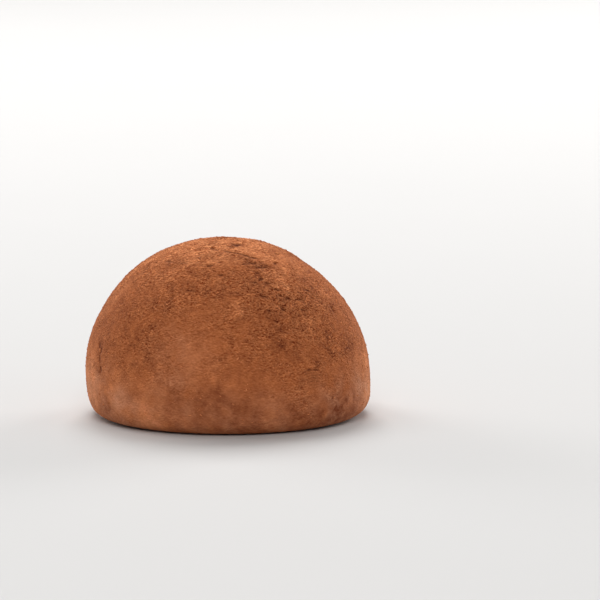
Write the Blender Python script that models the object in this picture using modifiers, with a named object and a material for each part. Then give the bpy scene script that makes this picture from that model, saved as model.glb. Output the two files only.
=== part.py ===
"""Cocoa-dusted mochi: one soft dome of filled rice dough that rests on its flat foot.

Metres, +Z up. The origin is the middle of the foot, and -Y is the front.
"""

import math

import bpy
from mathutils import Vector, noise

# Driving dimensions of the settled dome
DOME_WIDTH = 0.0458
DOME_HEIGHT = 0.0288
BELLY_HEIGHT = 0.0063
FOOT_WIDTH = 0.0343
BELLY_SQUARENESS = 3.5

# How many rings and sides the turned outline gets
CROWN_RINGS = 34
BELLY_RINGS = 10
FOOT_RINGS = 3
SIDES = 100

# How soft dough departs from a true turned shape
LEAN = -0.00092
OVALITY = 0.005
OVAL_DIRECTION = math.radians(49)
SWELL_DEPTH = 0.00031
SWELL_SIZE = 0.012
SWELL_PLACE = Vector((12.78, 16.07, 5.58))
CRUST_DEPTH = 0.00005
CRUST_SIZE = 0.0040
FOOT_BLEND = 0.0030

# Shallow presses left by handling: direction round the dome from the front, height, width and depth
PRESSES = (
    (math.radians(-8), 0.0070, 0.0065, 0.00018),
    (math.radians(31), 0.0160, 0.0070, 0.00016),
    (math.radians(-38), 0.0125, 0.0060, 0.00014),
    (math.radians(142), 0.0120, 0.0080, 0.00024),
    (math.radians(-150), 0.0170, 0.0085, 0.00022),
)

# Cocoa powder
COCOA_COLOR = (0.262, 0.082, 0.031, 1.0)
COCOA_ROUGHNESS = 0.95


def clear_scene():
    for obj in list(bpy.data.objects):
        bpy.data.objects.remove(obj, do_unlink=True)


def dome_outline():
    """Half of the upright section as (radius, height), from the crown down to the middle of the foot."""
    belly_radius = DOME_WIDTH / 2
    foot_radius = FOOT_WIDTH / 2
    points = []
    for ring in range(CROWN_RINGS):
        angle = math.pi / 2 * (1 - ring / CROWN_RINGS)
        rise = (DOME_HEIGHT - BELLY_HEIGHT) * math.sin(angle)
        points.append((belly_radius * math.cos(angle), BELLY_HEIGHT + rise))
    for ring in range(BELLY_RINGS + 1):
        angle = math.pi / 2 * ring / BELLY_RINGS
        inward = math.cos(angle) ** (2 / BELLY_SQUARENESS)
        downward = math.sin(angle) ** (2 / BELLY_SQUARENESS)
        radius = foot_radius + (belly_radius - foot_radius) * inward
        points.append((radius, BELLY_HEIGHT * (1 - downward)))
    for ring in range(1, FOOT_RINGS + 1):
        points.append((foot_radius * (1 - ring / FOOT_RINGS), 0.0))
    points[0] = (0.0, DOME_HEIGHT)
    points[-1] = (0.0, 0.0)
    return points


def turned_dome(name):
    """The outline spun into a closed mesh with a Screw modifier."""
    corners = [(radius, 0.0, height) for radius, height in dome_outline()]
    edges = [(i, i + 1) for i in range(len(corners) - 1)]
    profile = bpy.data.meshes.new(name + "_outline")
    profile.from_pydata(corners, edges, [])
    turned = bpy.data.objects.new(name + "_outline", profile)
    bpy.context.scene.collection.objects.link(turned)
    screw = turned.modifiers.new("Turn", "SCREW")
    screw.axis = "Z"
    screw.angle = math.tau
    screw.steps = SIDES
    screw.render_steps = SIDES
    screw.use_merge_vertices = True
    screw.merge_threshold = 0.00001
    graph = bpy.context.evaluated_depsgraph_get()
    mesh = bpy.data.meshes.new_from_object(turned.evaluated_get(graph))
    mesh.name = name
    bpy.data.objects.remove(turned, do_unlink=True)
    bpy.data.meshes.remove(profile)
    return mesh


def outward(point):
    """The direction straight out of the dome at a point, as on an ellipsoid over the belly."""
    rise = max(point.z - BELLY_HEIGHT, 0.0) * DOME_WIDTH / 2 / (DOME_HEIGHT - BELLY_HEIGHT)
    direction = Vector((point.x, point.y, rise))
    return direction.normalized() if direction.length > 0 else Vector((0, 0, 1))


def press_depth(point):
    """How far the shallow presses push the surface in at a point."""
    depth = 0.0
    for azimuth, height, width, deepest in PRESSES:
        reach = DOME_WIDTH / 2 * math.sqrt(max(0.0, 1 - (height / DOME_HEIGHT) ** 2))
        centre = Vector((reach * math.sin(azimuth), -reach * math.cos(azimuth), height))
        depth += deepest * math.exp(-((point - centre).length / width) ** 2 * 2)
    return depth


def settled(point):
    """Where a point of the true turned dome lies once the soft dough has sagged and been handled."""
    free = min(point.z / FOOT_BLEND, 1.0)
    swell = SWELL_DEPTH * noise.noise(point / SWELL_SIZE + SWELL_PLACE)
    crust = CRUST_DEPTH * noise.noise(point / CRUST_SIZE)
    moved = point + outward(point) * free * (swell + crust - press_depth(point))
    around = math.atan2(point.y, point.x) - OVAL_DIRECTION
    oval = 1 + OVALITY * math.cos(2 * around)
    moved.x = moved.x * oval + LEAN * point.z / DOME_HEIGHT
    moved.y = moved.y * oval
    return moved


def centre_on_foot(mesh):
    """Puts the middle of the mesh's own box over the origin, with the foot at height zero."""
    xs = [vertex.co.x for vertex in mesh.vertices]
    ys = [vertex.co.y for vertex in mesh.vertices]
    middle = Vector(((min(xs) + max(xs)) / 2, (min(ys) + max(ys)) / 2, 0.0))
    for vertex in mesh.vertices:
        vertex.co -= middle


def cocoa_material():
    material = bpy.data.materials.new("cocoa_powder")
    material.use_nodes = True
    shader = material.node_tree.nodes["Principled BSDF"]
    shader.inputs["Base Color"].default_value = COCOA_COLOR
    shader.inputs["Roughness"].default_value = COCOA_ROUGHNESS
    shader.inputs["Metallic"].default_value = 0.0
    return material


def make_mochi(collection):
    mesh = turned_dome("mochi")
    for vertex in mesh.vertices:
        vertex.co = settled(vertex.co.copy())
    centre_on_foot(mesh)
    mesh.materials.clear()
    mesh.materials.append(cocoa_material())
    mesh.shade_smooth()
    mochi = bpy.data.objects.new("mochi", mesh)
    collection.objects.link(mochi)
    return mochi


def main():
    clear_scene()
    collection = bpy.data.collections.new("cocoa_mochi")
    bpy.context.scene.collection.children.link(collection)
    make_mochi(collection)


main()
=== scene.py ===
"""Looks of a cocoa-dusted mochi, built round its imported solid.

It makes the rice dough body, the coat of cocoa powder over it, the loose clumps and grains that
lie on the coat, and a small pale studio. Metres, +Z up. The middle of the foot is the origin and
-Y the front.
"""

import math
import random

import bpy
import numpy as np
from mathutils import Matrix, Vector, noise
from mathutils.bvhtree import BVHTree


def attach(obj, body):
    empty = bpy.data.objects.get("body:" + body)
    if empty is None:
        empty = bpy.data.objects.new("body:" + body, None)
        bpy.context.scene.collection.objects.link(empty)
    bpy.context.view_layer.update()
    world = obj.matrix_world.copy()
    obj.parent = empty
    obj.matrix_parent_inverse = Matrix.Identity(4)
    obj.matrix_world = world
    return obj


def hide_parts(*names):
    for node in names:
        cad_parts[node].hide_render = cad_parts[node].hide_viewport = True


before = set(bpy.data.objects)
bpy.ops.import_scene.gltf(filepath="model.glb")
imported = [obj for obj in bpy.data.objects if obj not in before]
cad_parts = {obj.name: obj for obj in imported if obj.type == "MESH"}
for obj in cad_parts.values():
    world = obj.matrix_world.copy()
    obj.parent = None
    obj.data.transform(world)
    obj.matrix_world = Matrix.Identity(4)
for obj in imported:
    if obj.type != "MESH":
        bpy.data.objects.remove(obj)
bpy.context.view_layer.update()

bl_info = {
    "name": "Cocoa Mochi",
    "version": (1, 0, 0),
    "blender": (4, 5, 0),
    "location": "3D Viewport > Sidebar > Mochi",
    "description": "Dresses a mochi in rice dough, cocoa powder and loose crumbs, in a pale studio",
    "category": "Object",
}

MM = 0.001

# Directions on the mochi are seen from its core: bearing in degrees from the front, towards the
# right, and rise in degrees above the level of the core
CORE = Vector((0.0, 0.0, 0.009))
BALL_RADIUS = 0.005
MERGE_DISTANCE = 0.000002
FORM_LEVELS = 2
DOUGH_DIVISIONS = 96

# Areas of the coat, from the crown down: bearing, rise, radius in mm and strength. These are rough
ROUGH_AREAS = (
    (0, 76, 5.0, 0.25), (21, 54, 2.6, 0.80), (-14, 42, 3.0, 0.25), (22, 40, 3.4, 0.80),
    (35, 32, 5.4, 1.00), (-28, 31, 2.4, 0.25), (52, 30, 4.0, 0.55), (3, 21, 3.0, 0.30),
    (-36, 14, 2.2, 0.22), (53, 9, 3.0, 0.35), (36, 1, 2.6, 0.45), (48, -4, 2.6, 0.25),
    (30, -6, 2.2, 0.40),
)
# Areas where the powder is smooth
SMOOTH_AREAS = (
    (30, 70, 3.4, 0.7), (-6, 63, 3.4, 0.6), (52, 60, 5.0, 0.8), (44, 47, 2.6, 0.7),
    (31.5, 46, 2.0, 1.2), (37, 42, 2.6, 0.8), (-50, 20, 4.0, 0.4), (33, 15, 3.0, 0.4),
    (-12, 12, 5.0, 0.8), (2, 0, 5.0, 0.5), (-32, -3, 3.6, 0.35), (-5, -7, 4.4, 0.3),
    (55, -13, 3.4, 0.2),
)
# Areas where dark dots show through the powder
DOTTED_AREAS = (
    (7, 74, 0.7, 0.58), (19, 57.5, 0.9, 0.60), (33, 54, 0.6, 0.58), (26.5, 53.5, 1.1, 0.62),
    (20.5, 49, 0.7, 0.58), (22, 46, 0.8, 0.60), (24.5, 43, 0.7, 0.60), (36, 36, 1.2, 0.55),
)
# Small patches where the powder is damp
DAMP_AREAS = (
    (16.5, 76.5, 1.1, 0.9), (5, 73.3, 0.8, 0.7), (-11, 65, 1.5, 0.40), (0, 63, 0.9, 0.4),
    (16, 61.5, 0.9, 0.4), (18.8, 58.0, 1.0, 0.55), (-28, 54, 1.1, 0.2), (34, 54, 0.8, 0.6),
    (-50, 53.5, 1.2, 0.45), (26.5, 53.5, 1.1, 0.8), (20.5, 49, 0.8, 0.4), (21.5, 46.5, 1.0, 0.85),
    (54.5, 44, 1.3, 0.35), (24, 43.5, 1.0, 0.55), (-23.5, 41, 1.2, 0.45), (-32.5, 40.5, 1.3, 0.35),
    (-11, 39, 1.1, 0.25), (-5, 39, 1.0, 0.4), (4.5, 38.5, 1.1, 0.6), (56, 37.5, 1.1, 0.4),
    (16, 37, 1.1, 0.45), (35, 35.2, 1.0, 0.3), (43, 35, 1.0, 0.3), (-39, 31, 1.2, 0.35),
    (-32, 30.5, 1.3, 0.30), (29, 30, 1.2, 0.24), (41.5, 29.5, 1.2, 0.40), (20, 29, 0.9, 0.45),
    (62.5, 27, 1.0, 0.4), (9, 26.5, 0.9, 0.4), (-56.5, 26, 1.6, 0.15), (-35.5, 20.5, 1.1, 0.5),
    (23, 20.5, 1.6, 0.20), (-36.8, 19.4, 0.9, 0.40), (-38.5, 18, 1.1, 0.42),
    (-41.5, 15.8, 1.1, 0.36), (50, 15.6, 1.3, 0.60), (27.5, 14, 1.8, 0.14), (-30, 12.5, 0.9, 0.45),
    (46, 12, 1.6, 0.4), (-44, 11, 0.9, 0.4), (25.5, 11, 1.9, 0.48), (-67.6, 9.5, 1.0, 0.6),
    (61.5, 9.5, 1.5, 0.5), (-1, 8.5, 1.3, 0.25), (48.5, 8.5, 1.0, 0.35), (-34.5, 8, 0.6, 0.9),
    (-33, 7, 1.1, 0.4), (39.3, 5.2, 0.6, 0.8), (-65.4, 5, 1.0, 0.65), (-26, 5, 1.2, 0.3),
    (12, 4.5, 1.4, 0.25), (-41, 4, 0.9, 0.5), (-39.5, 2.5, 1.1, 0.3), (31, 0.6, 0.7, 0.6),
    (42.5, 0.5, 0.7, 0.4), (-62.6, -1, 1.0, 0.45), (-27, -1, 1.0, 0.3), (31.6, -2.2, 0.7, 0.6),
    (-19, -6.0, 2.8, 0.22), (-3.8, -6.0, 1.4, 0.52), (-12, -6.5, 1.6, 0.22), (-41, -7, 1.1, 0.4),
    (-16.5, -8, 1.8, 0.32), (-6.4, -8.0, 1.4, 0.32), (2.5, -8, 1.6, 0.25), (-8.0, -8.8, 1.3, 0.35),
    (-1.0, -8.8, 1.6, 0.24), (-20.5, -9.5, 2.2, 0.25), (1, -9.8, 1.8, 0.30), (6.5, -9.8, 2.0, 0.25),
    (-4, -11, 1.3, 0.36), (-1, -11, 1.4, 0.30), (-15.2, -11.3, 1.8, 0.22), (28, -13.5, 2.4, 0.46),
    (50, -14.8, 2.6, 0.22), (-57, -15, 1.7, 0.40), (54, -15, 2.4, 0.34), (62, -15, 2.0, 0.30),
    (7, -16, 2.2, 0.28),
)
# Broad areas of painted shade, added to the damp patches
PAINTED_SHADE_AREAS = (
    (-3, 57, 3.6, 0.14), (-6, 40, 4.5, 0.12), (-70, 22, 6.0, 0.28), (24, 21, 7.5, 0.25),
    (-56, 20, 7.5, 0.22), (-3, 12, 2.4, 0.10), (59, 12, 6.0, 0.18), (-76, 6, 2.8, 0.20),
    (22, 6, 3.0, 0.12), (14, 4, 5.5, 0.17), (-24, -8, 3.6, 0.12), (-3, -8, 4.6, 0.30),
    (52, -14, 4.2, 0.56), (6, -15, 5.4, 0.30), (60, -15, 3.0, 0.24), (40, -17, 3.6, 0.44),
)
# Areas where it is so thin that starch lightens it; on the left and right flanks this is also painted
# light along the rims
THIN_AND_LIT_AREAS = (
    (-22, 8, 4.5, 0.35), (-24, -2, 4.0, 0.35), (-62, -7, 4.0, 0.45), (66, -8, 3.6, 0.45),
    (-80, -9, 3.4, 0.60), (78, -9, 3.0, 0.60), (20, -12, 2.4, 0.18), (-50, -13, 3.6, 0.58),
    (51, -13, 4.2, 0.60), (0, -14, 4.0, 0.10), (-36, -15, 3.0, 0.36),
)
# Areas where it lies loose and pale, and painted light along the rims and on the upper left edge; noise
# takes some of this away, so a strength may be over 1
PALE_AND_LIT_AREAS = (
    (-26, 64, 2.6, 0.60), (-36, 62, 3.2, 1.30), (-56, 60, 3.0, 1.30), (-28, 58, 4.0, 0.50),
    (62, 56, 3.6, 0.60), (-84, 54, 3.6, 0.80), (-48, 54, 4.0, 0.50), (-64, 50, 3.6, 0.55),
    (-57, 48, 3.4, 0.60), (42, 48, 2.4, 1.00), (31, 46.5, 1.8, 1.50), (-44, 46, 3.4, 0.45),
    (-5, 45, 1.3, 0.30), (32, 44.5, 2.0, 1.00), (12, 43.5, 1.1, 0.35), (-84, 42, 3.6, 0.60),
    (34, 42, 1.2, 0.90), (37, 41, 2.2, 1.00), (64, 34, 2.6, 0.35), (41, 32, 2.0, 0.45),
    (52, 32, 1.8, 0.35), (-43, 31, 2.0, 0.25), (-80, 30, 4.0, 0.60), (3.5, 30.0, 1.4, 0.65),
    (7, 29, 1.1, 0.50), (43, 25.5, 3.2, 0.40), (37, 21, 2.8, 0.50), (-35.5, 11.8, 0.6, 0.60),
    (33.5, 11, 1.4, 0.28), (-30.3, 10, 0.6, 0.45), (-36.8, 7.3, 0.5, 0.50), (-43, 6, 3.0, 0.20),
    (-12, 2, 5.2, 0.32), (80, 2, 4.0, 0.80), (31, 1, 1.8, 0.25), (-80, 0, 4.4, 0.80),
    (17, -2, 2.6, 0.20), (67, -2, 2.6, 0.50), (-62, -3, 4.0, 0.35), (-88, -6, 4.0, 0.90),
    (-50, -9, 4.4, 0.60), (12, -9, 2.2, 0.30), (-76, -10, 4.2, 1.40), (80, -10, 3.4, 1.00),
    (-9.5, -11.8, 1.2, 0.45), (-67, -12, 2.8, 0.40), (-36, -13, 4.4, 0.55), (-12, -13.4, 1.2, 0.35),
    (-8, -13.6, 1.2, 0.45), (-3.5, -13.9, 1.1, 0.40), (0.5, -14.0, 1.0, 0.35),
    (19, -16.5, 2.2, 0.50), (-34, -17.5, 3.2, 0.90),
)
# Pits where a flake of powder has come away
PITS = (
    (21, 77.4, 0.70, 1.0), (15, 76.6, 0.80, 1.0), (5, 74.4, 0.55, 0.8), (-22, 71, 0.45, 1.0),
    (63, 63.6, 0.45, 1.0), (43, 56.6, 0.36, 0.8), (42, 52, 0.32, 0.8), (74, 47, 0.36, 0.8),
    (17.5, 44.7, 0.34, 0.9),
)
# Fine cracks, from the crown down: bearing and rise of both ends, width in mm and strength
CRACKS = (
    (-27, 72.3, -16.5, 69.2, 0.36, 0.90), (-20, 69.6, -9.5, 68.2, 0.34, 0.84),
    (-9, 68.0, 8, 66.4, 0.42, 0.86), (2, 67.2, 17, 64.2, 0.42, 0.90),
    (12, 65.4, 25, 61.8, 0.42, 0.92), (60, 64.6, 65, 62.6, 0.38, 0.84),
    (20, 63.2, 31, 60.0, 0.38, 0.84), (15.5, 59.5, 19, 58.6, 0.32, 0.80),
    (18.5, 57.7, 24, 57.0, 0.38, 0.90), (-10, 57.6, -4, 58.0, 0.32, 0.70),
    (10.5, 57.2, 16.5, 57.0, 0.34, 0.82), (30.5, 56.2, 35, 54.6, 0.34, 0.84),
    (-44, 55.0, -32.6, 55.8, 0.30, 0.68), (-60, 54.6, -46.6, 55.2, 0.38, 0.84),
    (-24, 54.6, -17, 55.0, 0.32, 0.68), (26, 54.6, 36, 53.2, 0.38, 0.92),
    (-18, 54.2, -11, 55.0, 0.38, 0.92), (20, 54.2, 28, 53.4, 0.36, 0.80),
    (-46, 52.2, -39, 51.6, 0.36, 0.80), (19, 50.6, 22, 49.4, 0.32, 0.72),
    (-8.2, 49.5, -1.2, 48.9, 0.38, 0.88), (-3, 47.7, 0, 47.0, 0.32, 0.70),
    (19.5, 46.6, 25, 46.2, 0.36, 0.84), (21.5, 45.0, 26.5, 43.2, 0.36, 0.86),
    (-23.8, 41.8, -19, 41.2, 0.32, 0.68), (25.2, 40.2, 32.4, 39.0, 0.36, 0.80),
    (-26, 39.6, -16.6, 39.2, 0.32, 0.70), (47.8, 38.6, 53, 37.3, 0.36, 0.78),
    (15, 37.6, 22.8, 36.2, 0.36, 0.82), (27.4, 37.4, 33.4, 35.9, 0.36, 0.78),
    (31.2, 36.2, 37.6, 34.3, 0.34, 0.78), (35.2, 35.3, 44, 33.2, 0.34, 0.74),
    (27, 30.8, 31.4, 29.2, 0.36, 0.78), (18.2, 30.2, 22.4, 29.1, 0.36, 0.74),
    (36.6, 29.8, 44.2, 27.6, 0.36, 0.80), (62.5, 29.5, 61, 24, 0.34, 0.78),
    (17.4, 26.3, 21.4, 25.4, 0.34, 0.74), (21.4, 25.4, 24.2, 23.8, 0.34, 0.70),
    (24.2, 21.0, 25.8, 18.6, 0.34, 0.76), (-69.4, 11, -67.4, 7, 0.40, 0.88),
    (-65, 10, -66.4, 5.6, 0.38, 0.84), (-38.5, 7.6, -36.2, 5.0, 0.34, 0.72),
    (-66.6, 6, -64.2, 1.4, 0.40, 0.86), (35.4, 3.4, 40.6, 1.8, 0.32, 0.84),
    (-63.8, 2.6, -62.6, -2.0, 0.38, 0.82), (32.2, 2.4, 37.6, 3.5, 0.32, 0.82),
)

# Marks on the sides and back, drawn at random: how many, radius in mm, strength and seed
UNSEEN_ROUGH = (9, 4.4, 0.7, 21)
UNSEEN_SMOOTH = (5, 4.0, 0.8, 22)
UNSEEN_DOTTED = (9, 1.0, 0.62, 23)
UNSEEN_DAMP = (44, 1.3, 0.7, 24)
UNSEEN_PITS = (7, 0.45, 1.0, 25)
UNSEEN_PALE = (14, 2.2, 0.6, 27)
# Where those marks may lie, and the factors on radius and strength between which they vary
UNSEEN_BEARINGS = (85, 275)
UNSEEN_RISES = (-8, 68)
RADIUS_FACTORS = (0.6, 1.3)
STRENGTH_FACTORS = (0.5, 1.0)
# Fine cracks there, mostly high up: how many, seed, ranges of their angles and strength, and width
UNSEEN_CRACKS = (14, 26)
CRACK_BEARINGS = (80, 280)
CRACK_RISES = (25, 72)
CRACK_RUNS = (5, 13)
CRACK_SLANTS = (-4, 4)
CRACK_STRENGTHS = (0.66, 0.84)
CRACK_WIDTH_MM = 0.34

# How marks on the coat wander: reach of the push, size of the noise that pushes, and seed
WIDE_WANDER = (0.0018, 0.0032, 3.7)
SMALL_WANDER = (0.0007, 0.0014, 4.2)
PIT_WANDER = (0.0003, 0.0007, 6.1)
CRACK_WANDER = (0.00026, 0.0012, 7.9)
WRINKLE_WANDER = (0.00030, 0.0011, 2.2)
PRINT_WANDER = (0.0003, 0.0018, 1.7)

# Soft noise over the surface: size of its bumps, octaves and seed
EDGE_NOISE = (0.0035, 3, 4.4)
ROUGH_NOISE = (0.0030, 2, 8.8)
DRIFT_NOISE = (0.0060, 2, 3.1)
LUMP_NOISE = (0.0015, 2, 5.5)
RIDGE_NOISE = (0.00075, 2, 1.3)
GRIT_NOISE = (0.00045, 1, 9.2)
CROWN_NOISE = (0.0035, 2, 4.9)
PALE_NOISE = (0.0022, 3, 5.2)
DAMP_NOISE = (0.0016, 3, 6.6)
THIN_NOISE = (0.0030, 3, 2.6)
PLEAT_NOISE = (0.005, 2, 12.5)

# Heights above the floor between which each of these sets in
COVER_RISE = (0.0004, 0.0012)
THICKNESS_RISE = (0.0003, 0.0030)
RELIEF_RISE = (0.0002, 0.0025)
BELLY_RISE = (0.0040, 0.0130)
SHOULDER_RISE = (0.0160, 0.0240)
CROWN_RISE = (0.0250, 0.0280)
CRUMB_RISE = (0.0006, 0.0040)
# Heights between which the darkening and the thinness of the foot end, and their strength
DARK_FOOT = (0.0008, 0.0050)
THIN_FOOT = (0.0008, 0.0110)
FOOT_DARKENING = 0.16
FOOT_THINNESS = 0.34

# How rough the powder is at least, how much is added above the belly and the shoulder and in rough
# areas and taken off in smooth ones, and the limits of it all
LEAST_ROUGH = 0.13
BELLY_ROUGH = 0.20
SHOULDER_ROUGH = 0.12
ROUGH_SHARE = 0.55
SMOOTH_SHARE = 0.22
ROUGH_LIMITS = (0.04, 1.0)
# How far noise varies each look of the powder, and the mean of the thin one
ROUGH_CHANGE = 0.6
PALE_CHANGE = 0.9
DAMP_CHANGE = 0.9
THIN_CHANGE = 0.8
THIN_MEAN = 0.75
# The roughest powder is at least this dry
ROUGH_DRYNESS = 0.35

# Wrinkles: shares of their ridges, lumps and grit, how narrow the ridges are, and how much finer
# all this is upright than sideways
RIDGE_SHARE = 0.60
LUMP_SHARE = 0.7
GRIT_SHARE = 0.5
RIDGE_SHARPNESS = 2.2
WRINKLE_SQUASH = (1.0, 1.0, 1.4)
# Height of the drifts, depths of dots, cracks and pits in the powder, and how steep the pits are
DRIFT_HEIGHT = 0.00006
DOT_DEPTH = 0.00010
CRACK_DEPTH = 0.00016
PIT_DEPTH = 0.00022
PIT_STEEPNESS = 1.5
# The deepest break, as a share of the coat's thickness
DEEPEST_BREAK = 0.75

# Where the powder ends under the foot: distances from its middle, how ragged its edge is, and how
# far the coat dips into the dough past that edge
COVER_RADII = (0.0138, 0.0164)
COVER_RAGS = 0.0014
COVER_DIP = 0.0004
# How ragged the lower edge of the pale crown is
CROWN_RAGS = 0.0016
# A point this far below those around it lies in a full hollow, where painted shade darkens it by this
# share; the rounds say how far around it is looked at
HOLLOW_DEPTH = 0.00005
HOLLOW_SHADE_SHARE = 0.35
HOLLOW_ROUNDS = 8

# The mark of a fingertip: bearing and rise of its middle, its radius, how far its ridges lie apart,
# how far below it the middle of their curves lies, how flat they are, and the farthest one kept
PRINT_PLACE = (36.5, -0.2)
PRINT_RADIUS = 0.0017
PRINT_RIDGE_MM = 0.44
PRINT_DROP = 0.0034
PRINT_SQUASH = (0.55, 0.55, 1.0)
PRINT_FARTHEST_MM = 50.0

# The pinch under the foot: how many pleats, how far they wind round it and within which distance,
# how much they sway and differ, how wide they are, the distances from its middle between which
# each form begins or ends, and how deep the pinch and the dimple are beside a pleat
PLEATS = 9
PLEAT_WIND = 1.6
PLEAT_WIND_REACH = 0.004
PLEAT_SWAY = 0.35
PLEAT_UNEVENNESS = 0.6
PLEAT_WIDTH = 0.45
PLEAT_START = (0.0004, 0.0020)
PLEAT_END = (0.006, 0.0125)
PINCH_RADII = (0.0003, 0.0022)
DIMPLE_RADII = (0.001, 0.009)
PINCH_SHARE = 0.8
DIMPLE_SHARE = 0.45
# Heights between which the underside ends, and distances from its middle between which stray cocoa
# sets in
UNDERSIDE_TOP = (0.0002, 0.0008)
DUSTING_RADII = (0.0060, 0.0165)

# How many unlike clumps and grains are modelled, and how high a copy's middle lies above the
# coat, in its own widths
SHAPE_KINDS = 6
PERCH = 0.10
# Clumps and grains: the ranges of their sides, how far their corners stray, and seed
CLUMP_SIDES = ((1.3, 2.1), (0.7, 0.95), (0.5, 0.75))
CLUMP_STRAY = 0.16
CLUMP_SEED = 31
GRAIN_WIDTHS = (0.8, 1.1)
GRAIN_LENGTHS = (0.8, 1.3)
GRAIN_STRAY = 0.12
GRAIN_SEED = 33
# Their long sides lie square to this direction, which is nearly upright
NEARLY_UP = (0.02, 0.01, 1.0)
# Weight of smooth powder in the draw of their places, beside 1 for the roughest, and how broken the
# powder is where they grow fewer and end
SMOOTH_CRUMBS = 0.03
CRUMB_BREAKS = (0.2, 0.5)
# Spread of the turn of each copy about the coat's normal, in radians, and seed of the scatter
CRUMB_SCATTER = (0.6, 41)
GRAIN_SCATTER = (3.0, 43)
# Their widths beside the middling one, by mean and spread of the logarithm and by limits, and the
# range of their tints, where 0 is damp and 1 is dry
WIDTH_SPREAD = (-0.10, 0.32)
WIDTH_FACTORS = (0.45, 2.0)
CRUMB_TINTS = (0.30, 0.75)

# Noise in the materials for damp strokes, ragged breaks and strayed cocoa: bumps to a metre, detail
# and roughness
STREAK_NOISE = (1700.0, 2.0, 0.6)
BREAK_NOISE = (2600.0, 2.0, 0.6)
STRAY_NOISE = (2400.0, 4.0, 0.75)
# These factors on each point's place make the grain of the powder longer sideways than upright
GRAIN_LIE = (0.80, 1.20, 1.14)
GRAIN_SCALE = 4200.0
# Noise of the powder's grains, curls and tufts: share of the grain's scale, detail and roughness
GRAIN_BUMPS = (0.8, 0.6, 0.4)
CURL_BUMPS = (0.45, 0.0, 0.5)
TUFT_BUMPS = (0.5, 1.0, 0.7)
# How high the grains stand, and how wide and high the ridges along the curls are
GRAIN_RISE = 1.1
RIDGE_WIDTH = 0.12
RIDGE_RISE = 1.2
# The height this far above a point is compared with its own, to tell if the powder faces upwards
JUST_ABOVE = (0.0, 0.0, 0.00009)
# Clouds over the coat: bumps to a metre, and how strong they are
BROAD_CLOUDS = (360.0, 0.22)
SMALL_CLOUDS = (900.0, 0.24)
CLOUD_CONTRAST = 2.6
# Grooves between flakes: lines to a metre, and how wide they are
WIDE_GROOVES = (1450.0, 0.075)
TIGHT_GROOVES = (2300.0, 0.09)
# How much each kind of mark darkens the coat, partly darker powder and partly painted shade, and how deep
# it is cut into its bumps
GROOVE_MARK = (0.40, 0.35)
BREAK_MARK = (0.75, 0.50)
PRINT_MARK = (0.45, 0.30)
# Starch on the dough: patches to a metre and their contrast, and the scale of its own grain
STARCH_PATCHES = 420.0
STARCH_CONTRAST = 3.5
STARCH_GRAIN = 2200.0
# How far light of each colour spreads in the dough, and the length that these are factors on
DOUGH_SPREAD = (1.0, 0.55, 0.3)
DOUGH_SPREAD_LENGTH = 0.0015
# Roughness of the surfaces
POWDER_ROUGHNESS = 0.95
DOUGH_ROUGHNESS = 0.6
FLOOR_ROUGHNESS = 0.7
# Factors on the colour of powder: painted shade where it lies low, and painted light where it stands up or
# faces upwards, as if lit from above
PAINTED_SHADE_TINT = (0.50, 0.26, 0.12, 1.0)
PAINTED_LIGHT_TINT = (1.58, 2.06, 2.75, 1.0)
SHEEN_TINT = (1.0, 0.60, 0.38, 1.0)
CREASE_COLOR = (0.30, 0.21, 0.15, 1.0)
# How deep the bumps of each surface are
COAT_BUMPS = 0.00016
CRUMB_BUMPS = 0.00005
DOUGH_BUMPS = 0.00005

# The picture: its side in pixels, pixels to a metre at the mochi, and the mochi's middle in pixels
# of the picture and in metres
PICTURE_SIDE = 600
PIXELS_PER_METRE = 6196
MIDDLE_PIXEL = (228.1, 328.5)
MIDDLE = Vector((0.0, 0.0, 0.014))
SENSOR_MM = 36.0
# Nearest and farthest distance that the camera sees
SIGHT = (0.01, 20.0)

# Floor: its radius and corners, and its soft patches: how many to a metre and how much darker
FLOOR_RADIUS = 2.5
FLOOR_CORNERS = 96
FLOOR_PATCHES = 9.0
FLOOR_SHADE = 0.95

# Soft white lamps, all square and equally far off: name, bearing and rise from the mochi, and watts
LAMP_DISTANCE = 1.2
LAMP_SIDE = 0.6
LAMPS = (
    ("key_softbox", 0, 38, 5.5),
    ("top_softbox", 180, 50, 9.0),
    ("left_softbox", -60, 20, 0.3),
    ("high_left_softbox", -120, 60, 3.0),
    ("right_softbox", 60, 20, 0.8),
    ("left_rim_softbox", -138, 12, 6.5),
    ("right_rim_softbox", 138, 12, 9.9),
)


def color_property(name, description, default):
    """A colour that a user can change."""
    return bpy.props.FloatVectorProperty(
        name=name,
        description=description,
        subtype="COLOR",
        size=4,
        min=0.0,
        max=1.0,
        default=default,
    )


def length_property(name, description, default, limits):
    """A length in metres that a user can change, between two limits."""
    return bpy.props.FloatProperty(
        name=name,
        description=description,
        unit="LENGTH",
        min=limits[0],
        max=limits[1],
        default=default,
    )


class DoughSettings(bpy.types.PropertyGroup):
    """Rice dough of the body."""

    dough_color: color_property(
        "Dough Color", "Colour of the bare rice dough", (0.52, 0.41, 0.31, 1.0)
    )
    starch_color: color_property(
        "Starch Color", "Colour of the starch that dusts the underside", (0.74, 0.66, 0.56, 1.0)
    )
    gather_depth: length_property(
        "Gather Depth",
        "Depth of the creases where the dough was pinched shut underneath",
        default=0.00022,
        limits=(0.0, 0.001),
    )


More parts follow.
